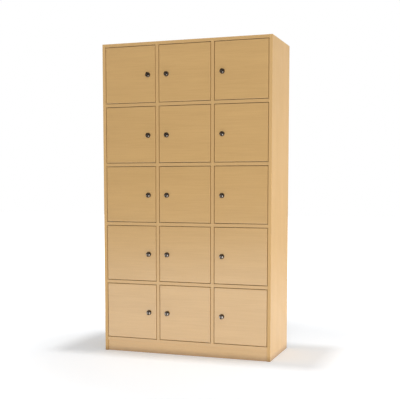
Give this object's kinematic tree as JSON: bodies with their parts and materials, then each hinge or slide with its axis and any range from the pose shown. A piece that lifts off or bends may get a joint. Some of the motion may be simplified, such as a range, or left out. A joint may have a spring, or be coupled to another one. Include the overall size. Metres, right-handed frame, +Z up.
{
  "type": "compartment locker cabinet",
  "caption": "Tall wooden cabinet of lockable compartments: flush doors on concealed hinges, round turn-knob cam locks with keeps, shelves, dividers and a plinth set back between the sides.",
  "frame": {"origin": "on the floor, under the middle of the whole bounding box, knobs included", "axes": "+Z up, -Y out of the doors' fronts, +X to the right for someone who faces the doors"},
  "size_m": [1.045, 0.4426, 1.85],
  "materials": {
    "door_board": "satin decor board, fine horizontal grain",
    "side_board": "satin decor board, upright grain",
    "front_board": "satin decor board with edging",
    "back_board": "thin decor board",
    "dowel_wood": "plain beech",
    "fitting_steel": "nickel plated",
    "hinge_steel": "nickel plated",
    "keep_steel": "zinc plated",
    "screw_steel": "zinc plated",
    "lock_metal": "dark bronze lacquer",
    "buffer_rubber": "matt"
  },
  "bodies": {
    "carcass": {"left_side_panel": "side_board", "right_side_panel": "side_board", "top_panel": "front_board", "bottom_panel": "front_board", "left_divider": "front_board", "right_divider": "front_board", "shelves": "front_board", "back_panel": "back_board", "plinth_rails": "front_board", "hinge_arms": "hinge_steel", "hinge_plates": "hinge_steel", "lock_keeps": "keep_steel", "door_buffers": "buffer_rubber", "dowels": "dowel_wood", "fixing_screws": "screw_steel"},
    "swing_row1_left": {"door_row1_left": "door_board", "fittings_row1_left": "fitting_steel"},
    "turn_row1_left": {"lock_row1_left": "lock_metal"},
    "swing_row2_left": {"door_row2_left": "door_board", "fittings_row2_left": "fitting_steel"},
    "turn_row2_left": {"lock_row2_left": "lock_metal"},
    "swing_row3_left": {"door_row3_left": "door_board", "fittings_row3_left": "fitting_steel"},
    "turn_row3_left": {"lock_row3_left": "lock_metal"},
    "swing_row4_left": {"door_row4_left": "door_board", "fittings_row4_left": "fitting_steel"},
    "turn_row4_left": {"lock_row4_left": "lock_metal"},
    "swing_row5_left": {"door_row5_left": "door_board", "fittings_row5_left": "fitting_steel"},
    "turn_row5_left": {"lock_row5_left": "lock_metal"},
    "swing_row1_middle": {"door_row1_middle": "door_board", "fittings_row1_middle": "fitting_steel"},
    "turn_row1_middle": {"lock_row1_middle": "lock_metal"},
    "swing_row2_middle": {"door_row2_middle": "door_board", "fittings_row2_middle": "fitting_steel"},
    "turn_row2_middle": {"lock_row2_middle": "lock_metal"},
    "swing_row3_middle": {"door_row3_middle": "door_board", "fittings_row3_middle": "fitting_steel"},
    "turn_row3_middle": {"lock_row3_middle": "lock_metal"},
    "swing_row4_middle": {"door_row4_middle": "door_board", "fittings_row4_middle": "fitting_steel"},
    "turn_row4_middle": {"lock_row4_middle": "lock_metal"},
    "swing_row5_middle": {"door_row5_middle": "door_board", "fittings_row5_middle": "fitting_steel"},
    "turn_row5_middle": {"lock_row5_middle": "lock_metal"},
    "swing_row1_right": {"door_row1_right": "door_board", "fittings_row1_right": "fitting_steel"},
    "turn_row1_right": {"lock_row1_right": "lock_metal"},
    "swing_row2_right": {"door_row2_right": "door_board", "fittings_row2_right": "fitting_steel"},
    "turn_row2_right": {"lock_row2_right": "lock_metal"},
    "swing_row3_right": {"door_row3_right": "door_board", "fittings_row3_right": "fitting_steel"},
    "turn_row3_right": {"lock_row3_right": "lock_metal"},
    "swing_row4_right": {"door_row4_right": "door_board", "fittings_row4_right": "fitting_steel"},
    "turn_row4_right": {"lock_row4_right": "lock_metal"},
    "swing_row5_right": {"door_row5_right": "door_board", "fittings_row5_right": "fitting_steel"},
    "turn_row5_right": {"lock_row5_right": "lock_metal"}
  },
  "joints": [
    {"name": "hinge_row1_left", "type": "hinge", "parent": "carcass", "child": "swing_row1_left", "pos_m": [-0.489, -0.1895, 1.664], "axis": [0, 0, -1], "range_deg": [0, 95]},
    {"name": "turn_lock_row1_left", "type": "hinge", "parent": "swing_row1_left", "child": "turn_row1_left", "pos_m": [-0.2295, -0.1987, 1.66], "axis": [0, -1, 0], "range_deg": [0, 90]},
    {"name": "hinge_row2_left", "type": "hinge", "parent": "carcass", "child": "swing_row2_left", "pos_m": [-0.489, -0.1895, 1.311], "axis": [0, 0, -1], "range_deg": [0, 95]},
    {"name": "turn_lock_row2_left", "type": "hinge", "parent": "swing_row2_left", "child": "turn_row2_left", "pos_m": [-0.2295, -0.1987, 1.307], "axis": [0, -1, 0], "range_deg": [0, 90]},
    {"name": "hinge_row3_left", "type": "hinge", "parent": "carcass", "child": "swing_row3_left", "pos_m": [-0.489, -0.1895, 0.958], "axis": [0, 0, -1], "range_deg": [0, 95]},
    {"name": "turn_lock_row3_left", "type": "hinge", "parent": "swing_row3_left", "child": "turn_row3_left", "pos_m": [-0.2295, -0.1987, 0.954], "axis": [0, -1, 0], "range_deg": [0, 90]},
    {"name": "hinge_row4_left", "type": "hinge", "parent": "carcass", "child": "swing_row4_left", "pos_m": [-0.489, -0.1895, 0.605], "axis": [0, 0, -1], "range_deg": [0, 95]},
    {"name": "turn_lock_row4_left", "type": "hinge", "parent": "swing_row4_left", "child": "turn_row4_left", "pos_m": [-0.2295, -0.1987, 0.601], "axis": [0, -1, 0], "range_deg": [0, 90]},
    {"name": "hinge_row5_left", "type": "hinge", "parent": "carcass", "child": "swing_row5_left", "pos_m": [-0.489, -0.1895, 0.252], "axis": [0, 0, -1], "range_deg": [0, 95]},
    {"name": "turn_lock_row5_left", "type": "hinge", "parent": "swing_row5_left", "child": "turn_row5_left", "pos_m": [-0.2295, -0.1987, 0.248], "axis": [0, -1, 0], "range_deg": [0, 90]},
    {"name": "hinge_row1_middle", "type": "hinge", "parent": "carcass", "child": "swing_row1_middle", "pos_m": [0.147, -0.1895, 1.664], "axis": [0, 0, 1], "range_deg": [0, 95]},
    {"name": "turn_lock_row1_middle", "type": "hinge", "parent": "swing_row1_middle", "child": "turn_row1_middle", "pos_m": [-0.1125, -0.1987, 1.66], "axis": [0, 1, 0], "range_deg": [0, 90]},
    {"name": "hinge_row2_middle", "type": "hinge", "parent": "carcass", "child": "swing_row2_middle", "pos_m": [0.147, -0.1895, 1.311], "axis": [0, 0, 1], "range_deg": [0, 95]},
    {"name": "turn_lock_row2_middle", "type": "hinge", "parent": "swing_row2_middle", "child": "turn_row2_middle", "pos_m": [-0.1125, -0.1987, 1.307], "axis": [0, 1, 0], "range_deg": [0, 90]},
    {"name": "hinge_row3_middle", "type": "hinge", "parent": "carcass", "child": "swing_row3_middle", "pos_m": [0.147, -0.1895, 0.958], "axis": [0, 0, 1], "range_deg": [0, 95]},
    {"name": "turn_lock_row3_middle", "type": "hinge", "parent": "swing_row3_middle", "child": "turn_row3_middle", "pos_m": [-0.1125, -0.1987, 0.954], "axis": [0, 1, 0], "range_deg": [0, 90]},
    {"name": "hinge_row4_middle", "type": "hinge", "parent": "carcass", "child": "swing_row4_middle", "pos_m": [0.147, -0.1895, 0.605], "axis": [0, 0, 1], "range_deg": [0, 95]},
    {"name": "turn_lock_row4_middle", "type": "hinge", "parent": "swing_row4_middle", "child": "turn_row4_middle", "pos_m": [-0.1125, -0.1987, 0.601], "axis": [0, 1, 0], "range_deg": [0, 90]},
    {"name": "hinge_row5_middle", "type": "hinge", "parent": "carcass", "child": "swing_row5_middle", "pos_m": [0.147, -0.1895, 0.252], "axis": [0, 0, 1], "range_deg": [0, 95]},
    {"name": "turn_lock_row5_middle", "type": "hinge", "parent": "swing_row5_middle", "child": "turn_row5_middle", "pos_m": [-0.1125, -0.1987, 0.248], "axis": [0, 1, 0], "range_deg": [0, 90]},
    {"name": "hinge_row1_right", "type": "hinge", "parent": "carcass", "child": "swing_row1_right", "pos_m": [0.489, -0.1895, 1.664], "axis": [0, 0, 1], "range_deg": [0, 95]},
    {"name": "turn_lock_row1_right", "type": "hinge", "parent": "swing_row1_right", "child": "turn_row1_right", "pos_m": [0.2295, -0.1987, 1.66], "axis": [0, 1, 0], "range_deg": [0, 90]},
    {"name": "hinge_row2_right", "type": "hinge", "parent": "carcass", "child": "swing_row2_right", "pos_m": [0.489, -0.1895, 1.311], "axis": [0, 0, 1], "range_deg": [0, 95]},
    {"name": "turn_lock_row2_right", "type": "hinge", "parent": "swing_row2_right", "child": "turn_row2_right", "pos_m": [0.2295, -0.1987, 1.307], "axis": [0, 1, 0], "range_deg": [0, 90]},
    {"name": "hinge_row3_right", "type": "hinge", "parent": "carcass", "child": "swing_row3_right", "pos_m": [0.489, -0.1895, 0.958], "axis": [0, 0, 1], "range_deg": [0, 95]},
    {"name": "turn_lock_row3_right", "type": "hinge", "parent": "swing_row3_right", "child": "turn_row3_right", "pos_m": [0.2295, -0.1987, 0.954], "axis": [0, 1, 0], "range_deg": [0, 90]},
    {"name": "hinge_row4_right", "type": "hinge", "parent": "carcass", "child": "swing_row4_right", "pos_m": [0.489, -0.1895, 0.605], "axis": [0, 0, 1], "range_deg": [0, 95]},
    {"name": "turn_lock_row4_right", "type": "hinge", "parent": "swing_row4_right", "child": "turn_row4_right", "pos_m": [0.2295, -0.1987, 0.601], "axis": [0, 1, 0], "range_deg": [0, 90]},
    {"name": "hinge_row5_right", "type": "hinge", "parent": "carcass", "child": "swing_row5_right", "pos_m": [0.489, -0.1895, 0.252], "axis": [0, 0, 1], "range_deg": [0, 95]},
    {"name": "turn_lock_row5_right", "type": "hinge", "parent": "swing_row5_right", "child": "turn_row5_right", "pos_m": [0.2295, -0.1987, 0.248], "axis": [0, 1, 0], "range_deg": [0, 90]}
  ]
}
